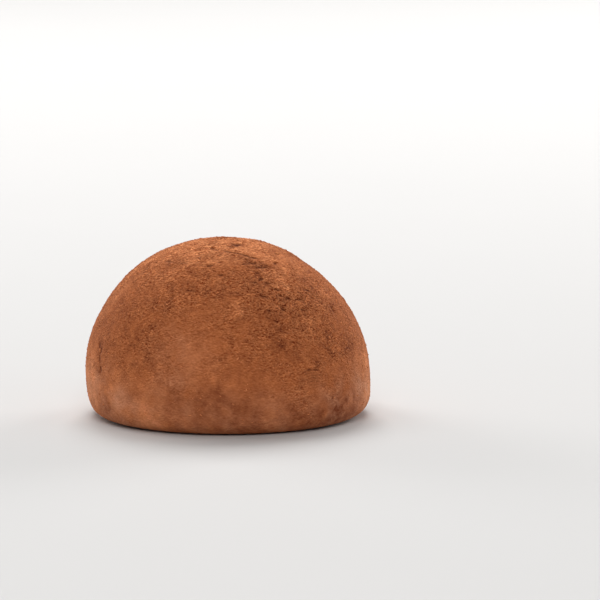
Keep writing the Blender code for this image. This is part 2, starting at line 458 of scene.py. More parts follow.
class CoatSettings(bpy.types.PropertyGroup):
    """Coat of cocoa powder."""

    cocoa_color: color_property("Cocoa Color", "Colour of the powder", (0.50, 0.136, 0.036, 1.0))
    # Also the colour of painted light on the crown and rims
    dry_and_lit_color: color_property(
        "Dry Color", "Colour of the drier, looser powder on the crown", (0.78, 0.250, 0.078, 1.0)
    )
    # Also the colour of painted shade over broad areas, in hollows, grooves and the fingertip's mark
    damp_and_shade_color: color_property(
        "Damp Color",
        "Colour of the powder where it has drawn moisture or lies in a crack",
        (0.20, 0.044, 0.013, 1.0),
    )
    # The dark at the bottom of cracks and pits is partly painted shade
    crack_and_shade_color: color_property(
        "Crack Color", "Colour at the bottom of cracks and pits", (0.150, 0.034, 0.010, 1.0)
    )
    # Also the colour of painted light along the lower rims
    dust_and_rim_light_color: color_property(
        "Dust Color",
        "Colour where the powder is so thin that starch shows through",
        (0.65, 0.262, 0.116, 1.0),
    )
    thickness: length_property(
        "Thickness", "Thickness of the powder on the dome", default=0.0003, limits=(0.0001, 0.001)
    )
    smear: length_property(
        "Smear",
        "Thickness of the powder pressed flat under the edge",
        default=0.00006,
        limits=(0.00002, 0.0003),
    )
    wrinkle_depth: length_property(
        "Wrinkle Depth",
        "Height of the fine wrinkles in a rough area",
        default=0.00015,
        limits=(0.0, 0.0003),
    )
    divisions: bpy.props.IntProperty(
        name="Divisions",
        description="Faces along each side of the five panels that the coat is made from",
        min=20,
        max=140,
        default=140,
    )


class CrumbSettings(bpy.types.PropertyGroup):
    """Loose clumps and grains of powder."""

    crumb_count: bpy.props.IntProperty(
        name="Crumbs",
        description="How many clumps of powder lie on the coat",
        min=0,
        max=9900,
        default=4500,
    )
    crumb_size: length_property(
        "Crumb Size", "Width of a middling clump", default=0.00021, limits=(0.00005, 0.001)
    )
    grain_count: bpy.props.IntProperty(
        name="Grains",
        description="How many fine grains lie on the coat",
        min=0,
        max=24900,
        default=15000,
    )
    grain_size: length_property(
        "Grain Size", "Width of a middling grain", default=0.00016, limits=(0.00005, 0.0005)
    )


class StudioSettings(bpy.types.PropertyGroup):
    """Floor, light and camera."""

    floor_color: color_property("Floor Color", "Colour of the floor", (0.62, 0.61, 0.60, 1.0))
    sky_strength: bpy.props.FloatProperty(
        name="Sky Strength",
        description="Strength of the even light from all round",
        min=0.0,
        max=5.0,
        default=0.19,
    )
    lamp_strength: bpy.props.FloatProperty(
        name="Lamp Strength",
        description="Factor on the power of every soft lamp",
        min=0.0,
        max=10.0,
        default=1.0,
    )
    camera_distance: length_property(
        "Camera Distance",
        "Distance from the camera to the middle of the mochi",
        default=0.8,
        limits=(0.2, 5.0),
    )
    camera_rise: bpy.props.FloatProperty(
        name="Camera Rise",
        description="Angle of the camera above the level of the mochi",
        unit="ROTATION",
        min=0.0,
        max=math.radians(89),
        default=math.radians(8.5),
    )


class MochiSettings(bpy.types.PropertyGroup):
    """All that a user would change."""

    dough: bpy.props.PointerProperty(type=DoughSettings)
    coat: bpy.props.PointerProperty(type=CoatSettings)
    crumbs: bpy.props.PointerProperty(type=CrumbSettings)
    studio: bpy.props.PointerProperty(type=StudioSettings)


def pick_only(obj):
    """Makes one object the only selected and the active one."""
    bpy.ops.object.select_all(action="DESELECT")
    obj.select_set(True)
    bpy.context.view_layer.objects.active = obj


def apply_modifier(obj, modifier):
    """Applies a modifier to its object's mesh."""
    pick_only(obj)
    bpy.ops.object.modifier_apply(modifier=modifier.name)


def remove(obj):
    """Deletes an object and its mesh."""
    mesh = obj.data
    bpy.data.objects.remove(obj, do_unlink=True)
    bpy.data.meshes.remove(mesh)


def smooth_form():
    """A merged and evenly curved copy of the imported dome, which the new pieces are wrapped on."""
    form = bpy.data.objects.new("form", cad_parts["mochi"].data.copy())
    bpy.context.scene.collection.objects.link(form)
    pick_only(form)
    bpy.ops.object.mode_set(mode="EDIT")
    bpy.ops.mesh.select_all(action="SELECT")
    bpy.ops.mesh.remove_doubles(threshold=MERGE_DISTANCE)
    bpy.ops.mesh.tris_convert_to_quads()
    bpy.ops.object.mode_set(mode="OBJECT")
    rounder = form.modifiers.new("Rounder", "SUBSURF")
    rounder.levels = FORM_LEVELS
    rounder.render_levels = FORM_LEVELS
    apply_modifier(form, rounder)
    return form


def points_of(mesh):
    """The places of a mesh's points, one row each."""
    flat = np.empty(len(mesh.vertices) * 3, np.float32)
    mesh.vertices.foreach_get("co", flat)
    return flat.reshape(-1, 3).astype(float)


def set_points(mesh, points):
    """Moves the points of a mesh to these places."""
    mesh.vertices.foreach_set("co", points.astype(np.float32).ravel())
    mesh.update()


def normals_of(mesh):
    """The normals of a mesh's points, one row each."""
    flat = np.empty(len(mesh.vertices) * 3, np.float32)
    mesh.vertex_normals.foreach_get("vector", flat)
    return flat.reshape(-1, 3).astype(float)


def select_faces_below(mesh):
    """Selects only the faces that point down; it works outside edit mode."""
    for face in mesh.polygons:
        face.select = face.normal.z < -0.5


def panelled_ball(name, divisions, open_below):
    """A ball of even square faces round the core, from a cube; open_below leaves its lowest panel out."""
    bpy.ops.object.select_all(action="DESELECT")
    bpy.ops.mesh.primitive_cube_add(size=2.0)
    ball = bpy.context.object
    ball.name = name
    ball.data.name = name
    bpy.ops.object.mode_set(mode="EDIT")
    if open_below:
        bpy.ops.mesh.select_all(action="DESELECT")
        bpy.ops.object.mode_set(mode="OBJECT")
        select_faces_below(ball.data)
        bpy.ops.object.mode_set(mode="EDIT")
        bpy.ops.mesh.delete(type="FACE")
    bpy.ops.mesh.select_all(action="SELECT")
    bpy.ops.mesh.subdivide(number_cuts=1)
    bpy.ops.mesh.subdivide(number_cuts=divisions // 2 - 1)
    bpy.ops.object.mode_set(mode="OBJECT")
    # A tangent spaces the rows of a panel by equal angles, so that no face ends up much smaller
    spaced = np.tan(points_of(ball.data) * math.pi / 4)
    spaced /= np.linalg.norm(spaced, axis=1, keepdims=True)
    set_points(ball.data, spaced * BALL_RADIUS + np.array(CORE))
    return ball


def wrap_on(ball, form):
    """Blows the ball up, along its own normals, until it lies on the form."""
    wrap = ball.modifiers.new("Wrap", "SHRINKWRAP")
    wrap.target = form
    wrap.wrap_method = "PROJECT"
    wrap.use_positive_direction = True
    apply_modifier(ball, wrap)


def direction(bearing, rise):
    """The direction with this bearing and rise, one unit long."""
    turn = math.radians(bearing)
    lift = math.radians(rise)
    return Vector((math.sin(turn) * math.cos(lift), -math.cos(turn) * math.cos(lift), math.sin(lift)))


def place_on(surface, bearing, rise):
    """The point of the dome that lies in a direction from its core."""
    return np.array(surface.ray_cast(CORE, direction(bearing, rise))[0])


def field(points, size, octaves=1, seed=0.0):
    """Soft noise at each point, about -0.7 to 0.7, with bumps of about this size."""
    shift = Vector((seed, 17.3 - seed, seed * 0.61))
    return np.array([noise.fractal(Vector(point) / size + shift, 1.0, 2.0, octaves) for point in points])


def step(values, low, high):
    """0 below low, 1 above high, and a smooth rise between."""
    share = np.clip((values - low) / (high - low), 0.0, 1.0)
    return share * share * (3 - 2 * share)


def area_mask(points, surface, areas):
    """How strongly the points lie in any of these round areas: the highest of their strengths."""
    mask = np.zeros(len(points))
    for bearing, rise, radius, strength in areas:
        away = np.linalg.norm(points - place_on(surface, bearing, rise), axis=1)
        mask = np.maximum(mask, strength * np.exp(-((away / (radius * MM)) ** 2)))
    return mask


def crack_mask(points, surface, cracks):
    """How deep the points lie in any of these fine cracks, from 0 to 1."""
    mask = np.zeros(len(points))
    for bearing_a, rise_a, bearing_b, rise_b, width, strength in cracks:
        start = place_on(surface, bearing_a, rise_a)
        run = place_on(surface, bearing_b, rise_b) - start
        along = np.clip((points - start) @ run / (run @ run), 0.0, 1.0)
        away = np.linalg.norm(points - start - along[:, None] * run, axis=1)
        taper = np.sqrt(np.clip(1 - (2 * along - 1) ** 2, 0.05, 1))
        mask = np.maximum(mask, strength * taper * np.exp(-((away / (width * MM * taper)) ** 2)))
    return mask


def unseen_areas(count, radius, strength, seed):
    """Areas of one kind for the sides and back, drawn at random."""
    draw = random.Random(seed)
    return tuple(
        (
            draw.uniform(*UNSEEN_BEARINGS),
            draw.uniform(*UNSEEN_RISES),
            radius * draw.uniform(*RADIUS_FACTORS),
            strength * draw.uniform(*STRENGTH_FACTORS),
        )
        for _ in range(count)
    )


def unseen_cracks(count, seed):
    """Fine cracks for the sides and back, drawn at random."""
    draw = random.Random(seed)
    cracks = []
    for _ in range(count):
        bearing = draw.uniform(*CRACK_BEARINGS)
        rise = draw.uniform(*CRACK_RISES)
        far_bearing = bearing + draw.uniform(*CRACK_RUNS)
        far_rise = rise + draw.uniform(*CRACK_SLANTS)
        strength = draw.uniform(*CRACK_STRENGTHS)
        cracks.append((bearing, rise, far_bearing, far_rise, CRACK_WIDTH_MM, strength))
    return tuple(cracks)


def wandering(points, reach, size, seed):
    """The points, each pushed about by noise, so that what is drawn on them wanders."""
    pushes = [field(points, size, 1, seed + 5.7 * axis) for axis in range(3)]
    return points + reach * np.stack(pushes, axis=1)


def blurred(values, mesh, rounds):
    """Values averaged with those next to them along the edges, a number of times."""
    ends = np.empty(len(mesh.edges) * 2, np.int32)
    mesh.edges.foreach_get("vertices", ends)
    first, second = ends.reshape(-1, 2).T
    count = np.bincount(ends, minlength=len(values))
    for _ in range(rounds):
        total = np.bincount(first, values[second], len(values))
        total += np.bincount(second, values[first], len(values))
        values = (values + total / count) / 2
    return values


def cover_of(points):
    """How far the powder covers the dough, 1 on the dome and 0 under the middle of the foot."""
    radius = np.hypot(points[:, 0], points[:, 1])
    ragged = COVER_RAGS * field(points, *EDGE_NOISE)
    under = step(radius + ragged, *COVER_RADII)
    return np.maximum(under, step(points[:, 2], *COVER_RISE))


def coat_depth(points, settings):
    """Thickness of the powder: a pressed smear under the edge, full on the dome."""
    risen = step(points[:, 2], *THICKNESS_RISE)
    return settings.smear + (settings.thickness - settings.smear) * risen


def fingertip(points, surface):
    """How far, in mm, each point lies from the middle of the ridges' curves, and how clear they are."""
    middle = place_on(surface, *PRINT_PLACE)
    away = np.linalg.norm(points - middle, axis=1)
    lifted = points - middle + np.array((0.0, 0.0, PRINT_DROP))
    rings = np.linalg.norm(lifted * np.array(PRINT_SQUASH), axis=1) / MM
    return rings, np.exp(-((away / PRINT_RADIUS) ** 4))


def roughness_of(points, ragged, surface):
    """How rough the powder is at each point, from nearly 0 to 1."""
    rough_areas = area_mask(ragged, surface, ROUGH_AREAS + unseen_areas(*UNSEEN_ROUGH))
    smooth_areas = area_mask(ragged, surface, SMOOTH_AREAS + unseen_areas(*UNSEEN_SMOOTH))
    above_belly = BELLY_ROUGH * step(points[:, 2], *BELLY_RISE)
    above_shoulder = SHOULDER_ROUGH * step(points[:, 2], *SHOULDER_RISE)
    rough = ROUGH_SHARE * rough_areas - SMOOTH_SHARE * smooth_areas
    rough += LEAST_ROUGH + above_belly + above_shoulder
    return np.clip(rough * (1 + ROUGH_CHANGE * field(points, *ROUGH_NOISE)), *ROUGH_LIMITS)


def powder_looks(points, surface):
    """Masks of how the powder looks at each point, and of where it is broken."""
    ragged = wandering(points, *WIDE_WANDER)
    frayed = wandering(points, *SMALL_WANDER)
    nibbled = wandering(points, *PIT_WANDER)
    crooked = wandering(points, *CRACK_WANDER)
    damp = area_mask(frayed, surface, DAMP_AREAS + unseen_areas(*UNSEEN_DAMP))
    # Painted shade over broad areas joins the damp patches
    damp = damp + area_mask(ragged, surface, PAINTED_SHADE_AREAS)
    thin = area_mask(ragged, surface, THIN_AND_LIT_AREAS)
    return {
        "rough": roughness_of(points, ragged, surface),
        # The coat grows darker towards the floor
        "damp": damp + FOOT_DARKENING * (1 - step(points[:, 2], *DARK_FOOT)),
        "thin": thin + FOOT_THINNESS * (1 - step(points[:, 2], *THIN_FOOT)),
        "pale": area_mask(frayed, surface, PALE_AND_LIT_AREAS + unseen_areas(*UNSEEN_PALE)),
        "dotted": area_mask(frayed, surface, DOTTED_AREAS + unseen_areas(*UNSEEN_DOTTED)),
        "pitted": area_mask(nibbled, surface, PITS + unseen_areas(*UNSEEN_PITS)),
        "cracked": crack_mask(crooked, surface, CRACKS + unseen_cracks(*UNSEEN_CRACKS)),
    }


def powder_relief(points, looks, settings):
    """Height of the powder over the form at each point: drifts, wrinkles and grit, less the breaks."""
    level = points * np.array(WRINKLE_SQUASH)
    warped = wandering(level, *WRINKLE_WANDER)
    lumps = np.abs(field(warped, *LUMP_NOISE))
    ridges = 1 - RIDGE_SHARPNESS * np.abs(field(warped, *RIDGE_NOISE))
    grit = field(level, *GRIT_NOISE)
    wrinkles = RIDGE_SHARE * ridges + LUMP_SHARE * lumps + GRIT_SHARE * grit
    height = DRIFT_HEIGHT * field(points, *DRIFT_NOISE)
    height += settings.wrinkle_depth * looks["rough"] * wrinkles
    pits = PIT_DEPTH * np.clip(PIT_STEEPNESS * looks["pitted"], 0, 1)
    height -= DOT_DEPTH * looks["dotted"] + CRACK_DEPTH * looks["cracked"] + pits
    # However deep it is broken, some powder stays on the dough
    return np.maximum(height, -DEEPEST_BREAK * settings.thickness)


def store_looks(mesh, points, looks, hollow):
    """Keeps how the powder looks, varied by noise, for its material to read."""
    # The crown is paler: partly drier powder, partly painted light from the lamps above
    crown = step(points[:, 2] + CROWN_RAGS * field(points, *CROWN_NOISE), *CROWN_RISE)
    pale = looks["pale"] * (1 + PALE_CHANGE * field(points, *PALE_NOISE))
    damp = looks["damp"] * (1 + DAMP_CHANGE * field(points, *DAMP_NOISE))
    thin = looks["thin"] * (THIN_MEAN + THIN_CHANGE * field(points, *THIN_NOISE))
    # Painted shade in the hollows of the powder
    store(mesh, "powder_hollow_shade", np.clip(hollow / HOLLOW_DEPTH, 0, 1) * HOLLOW_SHADE_SHARE)
    # The dry look holds drier powder and painted light on the crown, the rims and the upper left edge
    store(mesh, "powder_dry_and_lit", np.maximum(crown, np.maximum(pale, ROUGH_DRYNESS * looks["rough"])))
    store(mesh, "powder_rough", looks["rough"])
    store(mesh, "powder_damp_and_shade", damp)
    store(mesh, "powder_thin", thin)
    breaks = np.maximum(np.maximum(looks["dotted"], looks["cracked"]), looks["pitted"])
    store(mesh, "powder_breaks", breaks)


def store(mesh, name, values, most=1.0):
    """Keeps a value for each point of the mesh, for the materials to read."""
    layer = mesh.attributes.new(name, "FLOAT", "POINT")
    layer.data.foreach_set("value", np.clip(values, 0, most).astype(np.float32))


def stored(mesh, name):
    """The value that store kept for each point."""
    values = np.empty(len(mesh.vertices), np.float32)
    mesh.attributes[name].data.foreach_get("value", values)
    return values.astype(float)


def close_below(obj):
    """Closes the open ring under the coat with a fan of faces."""
    pick_only(obj)
    bpy.ops.object.mode_set(mode="EDIT")
    bpy.ops.mesh.select_mode(type="EDGE")
    bpy.ops.mesh.select_all(action="DESELECT")
    bpy.ops.mesh.select_non_manifold()
    bpy.ops.mesh.edge_face_add()
    bpy.ops.mesh.select_mode(type="FACE")
    bpy.ops.mesh.poke()
    bpy.ops.mesh.select_all(action="SELECT")
    bpy.ops.mesh.normals_make_consistent(inside=False)
    bpy.ops.object.mode_set(mode="OBJECT")


def fit_piece(obj):
    """Smooth shading, and the lines that every piece needs in the frame."""
    pick_only(obj)
    bpy.ops.object.shade_smooth()
    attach(obj, "root")


class NodeDesk:
    """Adds and links the nodes of one tree."""

    def __init__(self, tree):
        self.tree = tree

    def add(self, kind, inputs=None, **settings):
        """A new node, with its settings, and its inputs set or linked."""
        node = self.tree.nodes.new(kind)
        for name, value in settings.items():
            setattr(node, name, value)
        for name, value in (inputs or {}).items():
            self.feed(node.inputs[name], value)
        return node

    def feed(self, socket, value):
        """Links the socket if the value is another socket, or else sets it."""
        if isinstance(value, bpy.types.NodeSocket):
            self.tree.links.new(value, socket)
        else:
            socket.default_value = value

    def math(self, operation, first, second, clamp=False):
        """The result of a sum; clamp keeps it from 0 to 1."""
        node = self.add("ShaderNodeMath", operation=operation, use_clamp=clamp)
        self.feed(node.inputs[0], first)
        self.feed(node.inputs[1], second)
        return node.outputs[0]

    def times(self, first, second, clamp=False):
        return self.math("MULTIPLY", first, second, clamp)

    def plus(self, first, second, clamp=False):
        return self.math("ADD", first, second, clamp)

    def minus(self, first, second):
        return self.math("SUBTRACT", first, second)

    def span(self, value, low, high, to_low=0.0, to_high=1.0):
        """The value moved from one range to another, and kept within it."""
        ends = {"Value": value, "From Min": low, "From Max": high, "To Min": to_low, "To Max": to_high}
        return self.add("ShaderNodeMapRange", ends).outputs[0]

    def blend(self, share, first, second, way="MIX"):
        """The first colour with a share of the second, mixed in unless another way is given."""
        node = self.add("ShaderNodeMix", data_type="RGBA", blend_type=way)
        self.feed(node.inputs[0], share)
        self.feed(node.inputs[6], first)
        self.feed(node.inputs[7], second)
        return node.outputs[2]

    def noise(self, vector, scale, detail=2.0, roughness=0.5):
        """Soft noise from 0 to 1, its scale in bumps to a metre."""
        inputs = {"Vector": vector, "Scale": scale, "Detail": detail, "Roughness": roughness}
        return self.add("ShaderNodeTexNoise", inputs).outputs[0]

    def attribute(self, name):
        """The value that store kept under this name."""
        return self.add("ShaderNodeAttribute", attribute_name=name).outputs["Fac"]

    def place(self):
        """The place of each point on the object, in metres."""
        return self.add("ShaderNodeTexCoord").outputs["Object"]


def node_group(name, inputs, outputs):
    """An empty shader node group with float or vector inputs and float outputs."""
    group = bpy.data.node_groups.new(name, "ShaderNodeTree")
    for label, kind, default in inputs:
        socket = group.interface.new_socket(label, in_out="INPUT", socket_type=kind)
        if default is not None:
            socket.default_value = default
    for label in outputs:
        group.interface.new_socket(label, in_out="OUTPUT", socket_type="NodeSocketFloat")
    desk = NodeDesk(group)
    return group, desk, desk.add("NodeGroupInput"), desk.add("NodeGroupOutput")


def mottle_group():
    """Soft cloudy patches of one size."""
    found = bpy.data.node_groups.get("soft_mottle")
    if found:
        return found
    inputs = (
        ("Vector", "NodeSocketVector", None),
        ("Patch Scale", "NodeSocketFloat", 300.0),
        ("Contrast", "NodeSocketFloat", 2.0),
    )
    group, desk, given, result = node_group("soft_mottle", inputs, ("Patches",))
    place = given.outputs["Vector"]
    clouds = desk.noise(place, given.outputs["Patch Scale"], detail=3.0, roughness=0.55)
    centred = desk.minus(clouds, 0.5)
    stretched = desk.times(centred, given.outputs["Contrast"])
    desk.feed(result.inputs["Patches"], desk.plus(stretched, 0.5, clamp=True))
    return group


def grain_height(desk, place, scale):
    """Nodes for the height of fine powder: grains, tufts, and the curled ridges that they form."""

    def bumps(share, detail, roughness):
        """Noise about 0 whose scale is a share of the grain's."""
        noise_scale = desk.times(scale, share)
        return desk.minus(desk.noise(place, noise_scale, detail, roughness), 0.5)

    grains = desk.times(bumps(*GRAIN_BUMPS), GRAIN_RISE)
    ridges = desk.minus(RIDGE_WIDTH, desk.math("ABSOLUTE", bumps(*CURL_BUMPS), 0.0))
    height = desk.plus(grains, desk.times(ridges, RIDGE_RISE))
    return desk.plus(height, bumps(*TUFT_BUMPS))


def grain_group():
    """Fine powder: a height for bumps, and specks of painted light and shade, light where it stands up or
    faces upwards and dark where it lies low.
    """
    found = bpy.data.node_groups.get("powder_grain_and_painted_light")
    if found:
        return found
    inputs = (
        ("Vector", "NodeSocketVector", None),
        ("Grain Scale", "NodeSocketFloat", GRAIN_SCALE),
        ("Strength", "NodeSocketFloat", 1.0),
    )
    group, desk, given, result = node_group("powder_grain_and_painted_light", inputs, ("Height", "Specks And Painted Light"))
    place = given.outputs["Vector"]
    scale = given.outputs["Grain Scale"]
    strength = given.outputs["Strength"]
    height = grain_height(desk, place, scale)
    # Powder faces upwards where it is higher than just above
    above = desk.add("ShaderNodeVectorMath", {0: place, 1: JUST_ABOVE}, operation="ADD").outputs[0]
    upward = desk.minus(height, grain_height(desk, above, scale))
    # Painted light and shade: lighter where the powder stands up or faces upwards, darker where it lies
    # low
    lit = desk.plus(desk.times(height, 0.5), desk.times(upward, 0.8))
    desk.feed(result.inputs["Height"], desk.times(height, strength))
    desk.feed(result.inputs["Specks And Painted Light"], desk.span(desk.times(lit, strength), -0.45, 0.45))
    return group


def crust_group():
    """Thin winding lines between the flakes of a crust, broken up into short runs."""
    found = bpy.data.node_groups.get("crust_lines")
    if found:
        return found
    inputs = (
        ("Vector", "NodeSocketVector", None),
        ("Line Scale", "NodeSocketFloat", 1500.0),
        ("Line Width", "NodeSocketFloat", 0.07),
    )
    group, desk, given, result = node_group("crust_lines", inputs, ("Lines",))
    place = given.outputs["Vector"]
    scale = given.outputs["Line Scale"]
    winding = desk.minus(desk.noise(place, scale, 2.0, 0.6), 0.5)
    line = desk.span(desk.math("ABSOLUTE", winding, 0.0), 0.0, given.outputs["Line Width"], 1.0, 0.0)
    gate = desk.span(desk.noise(place, desk.times(scale, 0.45), 1.0, 0.5), 0.46, 0.56)
    desk.feed(result.inputs["Lines"], desk.times(line, gate))
    return group


def new_material(name, roughness):
    """A material with its Principled shader, and the desk that holds its nodes."""
    material = bpy.data.materials.new(name)
    material.use_nodes = True
    shader = material.node_tree.nodes["Principled BSDF"]
    shader.inputs["Roughness"].default_value = roughness
    shader.inputs["Metallic"].default_value = 0.0
    return material, shader, NodeDesk(material.node_tree)


def use_group(desk, group, inputs):
    """A node that holds the group, with its inputs set or linked."""
    node = desk.add("ShaderNodeGroup", node_tree=group)
    for name, value in inputs.items():
        desk.feed(node.inputs[name], value)
    return node


def powder_shader(shader, desk, place, base, strength, grooves, bump_depth):
    """The dry, soft finish that all cocoa shares, over a base colour, with painted light and shade in its
    specks; grooves are cut into its bumps.
    """
    inputs = {"Vector": place, "Grain Scale": GRAIN_SCALE, "Strength": strength}
    grain = use_group(desk, grain_group(), inputs)
    height = desk.minus(grain.outputs["Height"], grooves)
    # Painted light and shade: the base colour turns paler where the powder faces upwards, darker and
    # redder where it lies low
    shade = desk.blend(grain.outputs["Specks And Painted Light"], PAINTED_SHADE_TINT, PAINTED_LIGHT_TINT)
    desk.feed(shader.inputs["Base Color"], desk.blend(1.0, base, shade, "MULTIPLY"))
    desk.feed(shader.inputs["Roughness"], desk.span(grain.outputs["Specks And Painted Light"], 0.0, 1.0, 0.86, 0.98))
    relief = {"Height": height, "Strength": 1.0, "Distance": bump_depth}
    desk.feed(shader.inputs["Normal"], desk.add("ShaderNodeBump", relief).outputs[0])
    shader.inputs["Diffuse Roughness"].default_value = 0.4
    shader.inputs["Specular IOR Level"].default_value = 0.06
    shader.inputs["Sheen Weight"].default_value = 0.06
    shader.inputs["Sheen Roughness"].default_value = 0.3
    shader.inputs["Sheen Tint"].default_value = SHEEN_TINT


def print_ridges(desk):
    """The curved ridges of the fingertip's mark, from -1 to 1."""
    turns = desk.times(desk.attribute("print_rings"), math.tau / PRINT_RIDGE_MM)
    return desk.times(desk.math("SINE", turns, 0.0), desk.attribute("print_mask"))


def powder_color(desk, place, flat, settings):
    """Colour of the coat before its lines: drier and thinner powder and painted light make it paler,
    damper powder and painted shade darker, and its hollows get painted shade.
    """

    def clouds(scale, share):
        """Soft patches of one size, weakened to a share."""
        inputs = {"Vector": place, "Patch Scale": scale, "Contrast": CLOUD_CONTRAST}
        return desk.times(use_group(desk, mottle_group(), inputs).outputs[0], share)

    dryness = desk.attribute("powder_dry_and_lit")
    clouded = desk.plus(clouds(*BROAD_CLOUDS), clouds(*SMALL_CLOUDS))
    # On rough powder the damp patches and painted shade break up into strokes; on smooth powder they stay
    # soft
    coarse = desk.span(desk.attribute("powder_rough"), 0.10, 0.34, 0.25, 1.0)
    streaks = desk.span(desk.noise(flat, *STREAK_NOISE), 0.38, 0.62, -0.45, 0.45)
    strokes = desk.plus(desk.times(streaks, coarse), 0.70)
    # Damp patches and broad painted shade
    patches = desk.times(desk.attribute("powder_damp_and_shade"), strokes)
    calm = desk.span(dryness, 0.0, 1.0, 1.0, 0.45)
    dampness = desk.plus(desk.times(clouded, calm), patches, clamp=True)
    # Paler towards the dry colour, partly painted light
    dried = desk.blend(dryness, settings.cocoa_color, settings.dry_and_lit_color)
    # Thin powder, and painted light along the lower rims
    thinned = desk.blend(desk.attribute("powder_thin"), dried, settings.dust_and_rim_light_color)
    damped = desk.blend(dampness, thinned, settings.damp_and_shade_color)
    # Painted shade in the hollows
    return desk.blend(desk.attribute("powder_hollow_shade"), damped, settings.damp_and_shade_color)


def flake_lines(desk, flat):
    """The lines between the flakes of the coat, of two sizes."""

    def winding_lines(scale, width):
        """Lines of one size, which lie this many to a metre."""
        inputs = {"Vector": flat, "Line Scale": scale, "Line Width": width}
        return use_group(desk, crust_group(), inputs).outputs[0]

    return desk.math("MAXIMUM", winding_lines(*WIDE_GROOVES), winding_lines(*TIGHT_GROOVES))


def sharp_breaks(desk, flat):
    """Breaks cut off sharply where their soft mask, made ragged by noise, passes a level."""
    centred = desk.minus(desk.noise(flat, *BREAK_NOISE), 0.5)
    ragged = desk.times(centred, 0.3)
    return desk.span(desk.plus(desk.attribute("powder_breaks"), ragged), 0.50, 0.68)


def coat_material(settings):
    """Cocoa powder with grooves where it is rough, breaks, and the mark of a fingertip."""
    material, shader, desk = new_material("cocoa_coat", POWDER_ROUGHNESS)
    place = desk.place()
    flat = desk.add("ShaderNodeMapping", {"Vector": place, "Scale": GRAIN_LIE}).outputs[0]
    color = powder_color(desk, place, flat, settings)
    strength = desk.span(desk.attribute("powder_rough"), 0.1, 1.0, 0.26, 2.15)
    marks = (
        (desk.times(flake_lines(desk, flat), strength), GROOVE_MARK, settings.damp_and_shade_color),
        (sharp_breaks(desk, flat), BREAK_MARK, settings.crack_and_shade_color),
        (print_ridges(desk), PRINT_MARK, settings.damp_and_shade_color),
    )
    # Each mark is darkened where it is cut in: partly darker powder, partly painted shade
    cut = 0.0
    for mark, (darkness, depth), mark_color in marks:
        color = desk.blend(desk.times(mark, darkness, clamp=True), color, mark_color)
        cut = desk.plus(cut, desk.times(mark, depth))
    # The fingertip has pressed the powder flatter
    pressed = desk.span(desk.attribute("print_mask"), 0.0, 1.0, 1.0, 0.5)
    flattened = desk.times(strength, pressed)
    powder_shader(shader, desk, flat, color, flattened, cut, COAT_BUMPS)
    return material


def crumb_material(name, settings):
    """Cocoa powder whose tint varies from clump to clump."""
    material, shader, desk = new_material(name, POWDER_ROUGHNESS)
    tinted = desk.blend(desk.attribute("crumb_tint"), settings.damp_and_shade_color, settings.dry_and_lit_color)
    powder_shader(shader, desk, desk.place(), tinted, 0.5, 0.0, CRUMB_BUMPS)
    return material


def dough_material(settings, cocoa_color):
    """Rice dough, darker in its creases, under starch and strayed cocoa."""
    material, shader, desk = new_material("rice_dough", DOUGH_ROUGHNESS)
    place = desk.place()
    inputs = {"Vector": place, "Patch Scale": STARCH_PATCHES, "Contrast": STARCH_CONTRAST}
    dusted = use_group(desk, mottle_group(), inputs)
    uncreased = desk.span(desk.attribute("dough_crease"), 0.0, 1.0, 1.0, 0.25)
    starch = desk.times(dusted.outputs[0], uncreased)
    bare = desk.blend(starch, settings.dough_color, settings.starch_color)
    creased = desk.blend(desk.attribute("dough_crease"), bare, CREASE_COLOR)
    # Cocoa has strayed in over the starch, in finer and finer specks away from the coat
    level = desk.span(desk.attribute("dough_dusting"), 0.0, 1.0, 0.66, 0.44)
    strewn = desk.minus(desk.noise(place, *STRAY_NOISE), level)
    cocoa = desk.times(desk.span(strewn, -0.03, 0.05), 0.85)
    desk.feed(shader.inputs["Base Color"], desk.blend(cocoa, creased, cocoa_color))
    desk.feed(shader.inputs["Roughness"], desk.span(starch, 0.0, 1.0, 0.42, 0.85))
    inputs = {"Vector": place, "Grain Scale": STARCH_GRAIN, "Strength": 0.7}
    grain = use_group(desk, grain_group(), inputs)
    relief = {"Height": grain.outputs["Height"], "Strength": 0.7, "Distance": DOUGH_BUMPS}
    desk.feed(shader.inputs["Normal"], desk.add("ShaderNodeBump", relief).outputs[0])
    shader.inputs["Subsurface Weight"].default_value = 0.35
    shader.inputs["Subsurface Radius"].default_value = DOUGH_SPREAD
    shader.inputs["Subsurface Scale"].default_value = DOUGH_SPREAD_LENGTH
    return material


def gather_creases(points, depth):
    """How far the pinched dough is drawn up under the middle of the foot, and how deep in a crease."""
    radius = np.hypot(points[:, 0], points[:, 1])
    turn = np.arctan2(points[:, 1], points[:, 0])
    wind = PLEAT_WIND * np.exp(-radius / PLEAT_WIND_REACH)
    twist = turn + wind + PLEAT_SWAY * field(points, *PLEAT_NOISE)
    folds = np.abs(np.sin(PLEATS / 2 * twist + PLEAT_UNEVENNESS * np.sin(2 * twist)))
    pleats = 1 - step(folds, 0.0, PLEAT_WIDTH)
    pleats = pleats * step(radius, *PLEAT_START) * (1 - step(radius, *PLEAT_END))
    pinch = 1 - step(radius, *PINCH_RADII)
    below = 1 - step(points[:, 2], *UNDERSIDE_TOP)
    crease = np.maximum(pleats, PINCH_SHARE * pinch) * below
    dimple = (1 - step(radius, *DIMPLE_RADII)) * below
    return depth * (crease + DIMPLE_SHARE * dimple), crease


